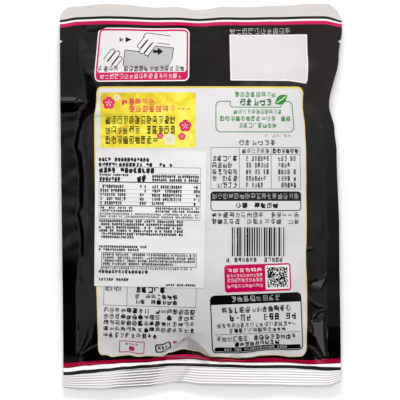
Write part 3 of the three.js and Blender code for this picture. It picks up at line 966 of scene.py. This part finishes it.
def block_place(tree, place, block):
    """Places measured from a print block's own middle, along its own turn and between its leans."""
    middle, turn = block.get("middle", (0, 0)), math.radians(block.get("turn", 0))
    own = add(tree, "Mapping", place, (*middle, 0), (0, 0, turn), vector_type="TEXTURE")
    if "leans" not in block:
        return own
    at = add(tree, "SeparateXYZ", own).outputs
    left, right = block["leans"]
    lean = add(tree, "MapRange", at[0], *block["fields"][0][:2], -left, -right)
    return add(tree, "CombineXYZ", add(tree, "Math.MULTIPLY_ADD", lean, at[1], at[0]), at[1])


def rounded_mask(tree, place, field):
    """1 inside a box with round corners: (left, right, bottom, top, corner radius)."""
    left, right, bottom, top, corner = field
    corner = max(corner, 0.001)
    middle = ((left + right) / 2, (bottom + top) / 2, 0)
    reach = ((right - left) / 2 - corner, (top - bottom) / 2 - corner, 10)
    off = add(tree, "VectorMath.SUBTRACT", place, middle)
    off = add(tree, "VectorMath.ABSOLUTE", off)
    off = add(tree, "VectorMath.SUBTRACT", off, reach)
    off = add(tree, "VectorMath.MAXIMUM", off, (0, 0, 0))
    return add(tree, "Math.LESS_THAN", add(tree, "VectorMath.LENGTH", off), corner)


def print_fields(tree, colour, place, fields):
    """Prints plain fields with round corners, each over the ones before."""
    for *field, ink in fields:
        colour = lay_ink(tree, colour, ink, rounded_mask(tree, place, field))
    return colour


def print_arrowheads(tree, colour, place, arrowheads):
    """Prints triangles that point to the right: (tail, middle height, length, half height, ink)."""
    for tail, height, length, half_height, ink in arrowheads:
        scale, shift = (1 / length, 1 / half_height, 0), (-tail / length, -height / half_height, 0)
        own = add(tree, "VectorMath.MULTIPLY_ADD", place, scale, shift)
        own = add(tree, "SeparateXYZ", own).outputs
        reach = add(tree, "Math.ADD", own[0], add(tree, "Math.ABSOLUTE", own[1]))
        inside = add(tree, "Math.LESS_THAN", reach, 1)
        ahead = add(tree, "Math.GREATER_THAN", own[0], 0)
        colour = lay_ink(tree, colour, ink, all_of(tree, inside, ahead))
    return colour


def single_rows(text):
    """Splits rows whose last one is shorter, so that each set of rows is a plain rectangle."""
    for left, right, top, rows, leading, *looks in text:
        looks, end = looks[:3], looks[3:]
        if rows == 1:
            yield left, right, top, 1, leading / MARK_SHARE, *looks
            continue
        whole = rows - len(end)
        yield left, right, top, whole, leading, *looks
        if end:
            yield left, *end, top - whole * leading, 1, leading, *looks


def lay_rows(tree, laid, place, text, first=0):
    """Lays rows of greeked text over a stroke grid: the cells that their marks stand in, and their ink.
    Z of the cells is the row set's number, with the weight of its strokes after the point."""
    for number, row_set in enumerate(single_rows(text), first):
        left, right, top, rows, leading, pitch, row_ink, (grid, weight) = row_set
        columns = max(1, round((right - left) / pitch))
        pitch = (right - left) / columns
        scale, shift = (1 / pitch, -1 / leading, 0), (-left / pitch, top / leading, number + weight)
        own = add(tree, "VectorMath.MULTIPLY_ADD", place, scale, shift)
        whole = add(tree, "VectorMath.DIVIDE", own, (columns, rows, 100))
        whole = add(tree, "VectorMath.FLOOR", whole)
        mask = add(tree, "Math.LESS_THAN", add(tree, "VectorMath.LENGTH", whole), 0.5)
        cells, ink = laid.get(grid, ((0, 0, 0), linear(DARK_INK)))
        cells = add(tree, "Mix", {0: mask, 4: cells, 5: own}, data_type="VECTOR")
        laid[grid] = cells, lay_ink(tree, ink, row_ink, mask)


def stroke_marks(tree, cells, grid):
    """Random strokes in each cell, which spell nothing: 1 on a stroke."""
    lanes_across, lanes_up, upright, left_out, blank = grid
    whole = add(tree, "VectorMath.FLOOR", cells)
    part = add(tree, "VectorMath.FRACTION", cells)
    part = add(tree, "VectorMath.MULTIPLY", part, (1.18, 1 / MARK_SHARE, 1))
    at = add(tree, "SeparateXYZ", part).outputs
    kept = add(tree, "TexWhiteNoise", whole)
    # Each mark's strokes are 0.6 to 1.3 times as heavy as its row says
    weight = add(tree, "Math.MULTIPLY_ADD", kept, 0.7, 0.6)
    weight = add(tree, "Math.MULTIPLY", weight, at[2])
    marks = []
    for across, lanes, width, seed in ((1, lanes_up, 1, 3.5), (0, lanes_across, upright, 8.5)):
        reach = add(tree, "Math.MULTIPLY", weight, lanes * width)
        lane = add(tree, "Math.MULTIPLY", at[across], lanes)
        off = add(tree, "Math.SUBTRACT", add(tree, "Math.FRACT", lane), 0.5)
        off = add(tree, "Math.ABSOLUTE", off)
        draw = add(tree, "Math.ADD", add(tree, "Math.FLOOR", lane), seed)
        draw = add(tree, "TexWhiteNoise", whole, draw, noise_dimensions="4D")
        draw = add(tree, "SeparateColor", draw.outputs["Color"]).outputs
        on = add(tree, "Math.LESS_THAN", off, reach)
        shown = add(tree, "Math.GREATER_THAN", draw[0], left_out)
        start = add(tree, "Math.MULTIPLY", draw[1], 0.35)
        after = add(tree, "Math.GREATER_THAN", at[1 - across], start)
        end = add(tree, "Math.MULTIPLY_ADD", draw[2], 0.35, 0.65)
        before = add(tree, "Math.LESS_THAN", at[1 - across], end)
        marks.append(all_of(tree, on, shown, after, before))
    gates = [add(tree, "Math.LESS_THAN", at[axis], 1) for axis in (0, 1)]
    gates.append(add(tree, "Math.GREATER_THAN", kept, blank))
    return all_of(tree, add(tree, "Math.MAXIMUM", *marks), *gates)


def print_bars(tree, colour, place, box, pitch, ink):
    """Prints upright bars over a box, one for each pitch, each 0.24 to 0.84 of it wide, at random."""
    own = add(tree, "Math.SUBTRACT", add(tree, "SeparateXYZ", place), box[0])
    own = add(tree, "Math.DIVIDE", own, pitch)
    width = add(tree, "TexWhiteNoise", {"W": add(tree, "Math.FLOOR", own)}, noise_dimensions="1D")
    width = add(tree, "Math.MULTIPLY_ADD", width, 0.6, 0.24)
    bar = add(tree, "Math.LESS_THAN", add(tree, "Math.FRACT", own), width)
    return lay_ink(tree, colour, ink, all_of(tree, bar, rounded_mask(tree, place, (*box, 0))))


def print_cells(tree, colour, place, box, cell, ink):
    """Prints a box of small cells drawn at random."""
    spot = add(tree, "VectorMath.DIVIDE", place, (cell, cell, 100))
    draw = add(tree, "TexWhiteNoise", add(tree, "VectorMath.FLOOR", spot))
    dark = add(tree, "Math.LESS_THAN", draw, DARK_CELLS)
    return lay_ink(tree, colour, ink, all_of(tree, dark, rounded_mask(tree, place, (*box, 0))))


def print_blossoms(tree, colour, place, blossoms):
    """Prints five-petalled plum blossoms, the traditional ornament: (u, v, radius, petals, stamens)."""
    spot, petals, stamens = (9, 9, 0), colour, colour
    for u, v, radius, petal_ink, stamen_ink in blossoms:
        scale, shift = (1 / radius, 1 / radius, 0), (-u / radius, -v / radius, 0)
        own = add(tree, "VectorMath.MULTIPLY_ADD", place, scale, shift)
        near = add(tree, "Math.LESS_THAN", add(tree, "VectorMath.LENGTH", own), 1.1)
        spot = add(tree, "Mix", {0: near, 4: spot, 5: own}, data_type="VECTOR")
        petals = lay_ink(tree, petals, petal_ink, near)
        stamens = lay_ink(tree, stamens, stamen_ink, near)
    radius = add(tree, "VectorMath.LENGTH", spot)
    at = add(tree, "SeparateXYZ", spot).outputs
    lobe = add(tree, "Math.MULTIPLY", add(tree, "Math.ARCTAN2", at[0], at[1]), 2.5)
    lobe = add(tree, "Math.ABSOLUTE", add(tree, "Math.COSINE", lobe))
    outline = add(tree, "Math.MULTIPLY_ADD", add(tree, "Math.POWER", lobe, 0.45), 0.3, 0.72)
    colour = lay_ink(tree, colour, petals, add(tree, "Math.LESS_THAN", radius, outline))
    heart = add(tree, "Math.MULTIPLY_ADD", lobe, 0.42, 0.1)
    near = add(tree, "Math.LESS_THAN", radius, heart)
    narrow = add(tree, "Math.GREATER_THAN", lobe, 0.88)
    return lay_ink(tree, colour, stamens, all_of(tree, narrow, near))


def print_leaf(tree, colour, place, leaf):
    """Prints a plain leaf with one vein."""
    own = block_place(tree, place, leaf)
    own = add(tree, "VectorMath.MULTIPLY", own, (2 / leaf["length"], 2 / leaf["width"], 0))
    at = add(tree, "SeparateXYZ", add(tree, "VectorMath.ABSOLUTE", own)).outputs
    reach = add(tree, "Math.ADD", add(tree, "Math.POWER", at[0], 2), at[1])
    colour = lay_ink(tree, colour, leaf["ink"], add(tree, "Math.LESS_THAN", reach, 1))
    vein = add(tree, "Math.LESS_THAN", at[1], 0.1)
    short = add(tree, "Math.LESS_THAN", at[0], 0.72)
    return lay_ink(tree, colour, leaf["vein"], all_of(tree, vein, short))


def print_block(tree, colour, bag, block):
    """Prints a block but for its text. Returns the colour and the block's own places."""
    place = block_place(tree, bag, block)
    colour = print_fields(tree, colour, place, block.get("fields", ()))
    colour = print_arrowheads(tree, colour, place, block.get("arrowheads", ()))
    if "cells" in block:
        colour = print_cells(tree, colour, place, *block["cells"])
    if "bars" in block:
        colour = print_bars(tree, colour, place, *block["bars"])
    return colour, place


def print_text(tree, colour, laid):
    """Prints the strokes of all the rows that were laid."""
    for grid, (cells, ink) in laid.items():
        colour = lay_ink(tree, colour, ink, stroke_marks(tree, cells, grid))
    return colour


def drawn_in(tree, bag):
    """Places on the flat bag, with those near its outer borders moved out as the film is drawn in."""
    at = add(tree, "SeparateXYZ", bag).outputs
    across = at[0]
    for borders, insets, way in ((LEFT_BORDER, LEFT_INSET, -4), (RIGHT_BORDER, RIGHT_INSET, 4)):
        inset = ramp(tree, at[1], -90, 100, [(place, inset / 4) for place, inset in insets])
        share = add(tree, "MapRange", at[0], *borders, 0, way)
        across = add(tree, "Math.MULTIPLY_ADD", inset, share, across)
    return add(tree, "CombineXYZ", across, at[1])


def shaded_crimp_white(tree, bag):
    """The white of the crimped seal, with painted shade in its grooves, and brighter or darker along the
    seal.
    """
    at = add(tree, "SeparateXYZ", bag).outputs
    lean = add(tree, "Math.MULTIPLY_ADD", at[1], -CRIMP_LEAN, CRIMP_LEAN * CRIMP_MIDDLE)
    across = add(tree, "Math.ADD", at[0], lean)
    own = ramp(tree, across, -76, 76, [(place, *levels) for place, _, *levels in CRIMP])
    own = add(tree, "SeparateColor", own).outputs
    turn = 2 * math.pi / RIB_PITCH
    start = (BOTTOM_EDGE + BOTTOM_SEAL) * turn - GROOVE_SHADE_PLACE * 2 * math.pi
    wave = add(tree, "Math.COSINE", add(tree, "Math.MULTIPLY_ADD", at[1], -turn, start))
    wave = add(tree, "Math.MULTIPLY_ADD", wave, 0.5, 0.5)
    # Painted shade in the grooves of the crimp
    white = add(tree, "Math.SUBTRACT", 1, add(tree, "Math.MULTIPLY", wave, own[0]))
    white = add(tree, "Math.MULTIPLY", white, own[1])
    return add(tree, "VectorMath.SCALE", {0: (1, 0.975, 0.965), 3: white})


def end_bands(tree, bag):
    """Black film with the light and magenta bands across both ends. Towards the top right the black
    is laid thinner, and shows a little warmer."""
    at = add(tree, "SeparateXYZ", bag).outputs
    upwards = add(tree, "MapRange", at[1], 22, 58, interpolation_type="SMOOTHSTEP")
    across = add(tree, "MapRange", at[0], -20, 50, 0.15, 1)
    colour = lay_ink(tree, linear(BLACK_INK), THIN_BLACK_INK, all_of(tree, upwards, across))
    for low, high, ink in END_BANDS:
        above = add(tree, "Math.GREATER_THAN", at[1], low)
        below = add(tree, "Math.LESS_THAN", at[1], high)
        colour = lay_ink(tree, colour, ink, all_of(tree, above, below))
    aside = add(tree, "Math.ABSOLUTE", at[0])
    line = add(tree, "MapRange", aside, 50, 75, BLACK_LINE, BLACK_LINE - 0.7)
    below = add(tree, "Math.LESS_THAN", at[1], line)
    return lay_ink(tree, colour, shaded_crimp_white(tree, bag), below)


def gold_ink_and_sheen(tree, bag):
    """See-through yellow over a metal layer, with its sheen painted in: paler to the lower right, with
    soft patches of painted reflection from dents about 11 mm across."""
    patches = {"Vector": bag, "Scale": 0.09, "Detail": 2, "Roughness": 0.4, "Distortion": 1.5}
    at = add(tree, "SeparateXYZ", bag).outputs
    share = add(tree, "Math.MULTIPLY_ADD", at[0], 0.004, 0.32)
    share = add(tree, "Math.MULTIPLY_ADD", at[1], -0.005, share)
    # The patches and the paling to the lower right are painted sheen
    share = add(tree, "Math.ADD", share, add(tree, "TexNoise", patches))
    return ramp(tree, share, 0, 1, [(place, *linear(ink)[:3]) for place, ink in GOLD_STOPS])


def film_texture(tree, bag):
    """The fine unevenness of laminated film: a soft orange peel, about 6 mm from crest to crest."""
    peel = {"Vector": bag, "Scale": 0.16, "Detail": 3, "Roughness": 0.5, "Distortion": 0.4}
    peel = add(tree, "TexNoise", peel)
    return add(tree, "Bump", {"Strength": 0.2, "Distance": 0.25 * MM, "Height": peel})


def film_material(name, blocks=(), panel=True):
    """Laminated OPP film, gravure printed from behind: a smooth clear gloss with the ink under it."""
    material = bpy.data.materials.new(f"laminated_film_{name}")
    tree = empty_tree(material)
    bag = add(tree, "Attribute", attribute_name="bag").outputs["Vector"]
    flat = drawn_in(tree, add(tree, "VectorMath.MULTIPLY", bag, (1, 1, 0)))
    colour = end_bands(tree, flat)
    if panel:
        colour = print_fields(tree, colour, flat, PANEL_FIELDS)
    if name == "gold_card":
        card = rounded_mask(tree, flat, GOLD_CARD)
        colour = lay_ink(tree, colour, gold_ink_and_sheen(tree, flat), card)
        colour = print_blossoms(tree, colour, flat, BLOSSOMS)
    laid = {}
    for number, block in enumerate(blocks):
        colour, place = print_block(tree, colour, flat, block)
        # The number that seeds the marks of the block's first rows
        first = 20 * number + list(STRETCHES).index(name)
        lay_rows(tree, laid, place, block.get("text", ()), first)
    if name == "green_note":
        colour = print_leaf(tree, colour, flat, LEAF)
    colour = print_text(tree, colour, laid)
    # Painted shade on the pinch, where the film tucks under itself: the upper face's side falls below 1
    # there
    side = add(tree, "Math.ABSOLUTE", add(tree, "SeparateXYZ", bag).outputs[2])
    colour = lay_ink(tree, colour, PINCH_SHADE_TONE, add(tree, "Math.SUBTRACT", 1, side))
    looks = {"Base Color": colour, "Normal": film_texture(tree, flat), "Roughness": 0.12, "IOR": 1.5}
    add(tree, "OutputMaterial", add(tree, "BsdfPrincipled", looks))
    return material


def paper_material():
    """Coated label paper: bright, smooth and nearly matt, with thermal-printed rows."""
    material = bpy.data.materials.new("coated_label_paper")
    tree = empty_tree(material)
    place = add(tree, "Attribute", attribute_name="bag").outputs["Vector"]
    place = add(tree, "VectorMath.MULTIPLY", place, (1, 1, 0))
    colour, place = print_block(tree, linear(PAPER_WHITE), place, LABEL_BLOCK)
    laid = {}
    lay_rows(tree, laid, place, LABEL_BLOCK["text"])
    colour = print_text(tree, colour, laid)
    paper = add(tree, "BsdfPrincipled", {"Base Color": colour, "Roughness": 0.5})
    add(tree, "OutputMaterial", paper)
    return material


# ---------------------------------------------------------------- the studio


def make_floor():
    """A plain sweep of translucent white, lit from below too, at the height the pouch rests on."""
    bm = bmesh.new()
    bmesh.ops.create_grid(bm, x_segments=1, y_segments=1, size=2.5)
    mesh = bpy.data.meshes.new("floor")
    bm.to_mesh(mesh)
    bm.free()
    material = bpy.data.materials.new("white_sweep")
    tree = empty_tree(material)
    looks = {
        "Base Color": linear("#F0F0F0"),
        "Roughness": 0.9,
        "Specular IOR Level": 0,
        "Emission Color": linear("#FFFFFF"),
        "Emission Strength": FLOOR_GLOW,
    }
    add(tree, "OutputMaterial", add(tree, "BsdfPrincipled", looks))
    mesh.materials.append(material)
    floor = link_object("floor", mesh)


def make_softbox(name, place, width, height, power):
    """A flagged area light at a place in metres that faces the pouch: gloss doesn't mirror it."""
    light = bpy.data.lights.new(name, "AREA")
    light.shape = "RECTANGLE"
    light.size, light.size_y = width, height
    light.energy = power
    box = link_object(name, light)
    box.location = place
    box.rotation_euler = (-Vector(place)).to_track_quat("-Z", "Y").to_euler()
    box.visible_glossy = False


def make_world():
    """The studio that gloss mirrors. It is pale to both sides and overhead towards +Y, and dark low
    down and overhead towards -Y. Cameras see plain white past the floor."""
    world = bpy.data.worlds.new("studio")
    tree = empty_tree(world)
    soft = {"interpolation_type": "SMOOTHSTEP"}
    way = add(tree, "TexCoord").outputs["Generated"]
    at = add(tree, "SeparateXYZ", way).outputs
    overhead, left, right = (
        ramp(tree, at[1], -1, 1, levels) for levels in (OVERHEAD_LEVELS, LEFT_LEVELS, RIGHT_LEVELS)
    )
    left = add(tree, "Math.ADD", left, ramp(tree, at[0], -1, 1, LEFT_STRIPS))
    on_right = add(tree, "Math.GREATER_THAN", at[0], 0)
    sides = add(tree, "Mix", {0: on_right, 2: left, 3: right})
    to_side = add(tree, "MapRange", add(tree, "Math.ABSOLUTE", at[0]), 0.12, 0.42, **soft)
    level = add(tree, "Mix", {0: to_side, 2: overhead, 3: sides})
    # Low down it is dark all round, but for the windows
    height = add(tree, "MapRange", at[2], 0.28, 0.5, 0.01, 1, **soft)
    level = add(tree, "Math.MULTIPLY", level, height)
    for way_to, inner, outer, strength in SOFT_WINDOWS:
        near = add(tree, "VectorMath.DOT_PRODUCT", way, Vector(way_to).normalized())
        glow = add(tree, "MapRange", near, outer, inner, 0, strength, **soft)
        level = add(tree, "Math.ADD", level, glow)
    seen = add(tree, "Background", linear("#F4F4F4"))
    direct = add(tree, "LightPath").outputs["Is Camera Ray"]
    shown = add(tree, "MixShader", direct, add(tree, "Background", level), seen)
    add(tree, "OutputWorld", shown)
    bpy.context.scene.world = world


def make_camera():
    """A long lens straight above, so that the pouch shows almost in parallel view."""
    distance, frame_width, aim = 3.2, 0.21504, Vector((-0.0005, -0.001, 0.011))
    camera = bpy.data.cameras.new("overhead")
    camera.sensor_fit = "HORIZONTAL"
    camera.sensor_width = 36
    camera.lens = camera.sensor_width * distance / frame_width
    camera.clip_end = 20
    view = link_object("overhead", camera)
    view.location = aim + Vector((0, 0, distance))
    bpy.context.scene.camera = view


pouch = make_pouch()
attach(pouch, "root")
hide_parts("pouch")

label = make_label()
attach(label, "root")
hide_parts("import_label")

make_floor()
make_world()
make_softbox("key_softbox", (0, 1.22, 1.18), 0.5, 0.3, 10.7)
make_softbox("overhead_softbox", (0, 0.05, 1.7), 0.5, 0.5, 12.2)
make_camera()
bpy.context.scene.view_settings.view_transform = "Standard"
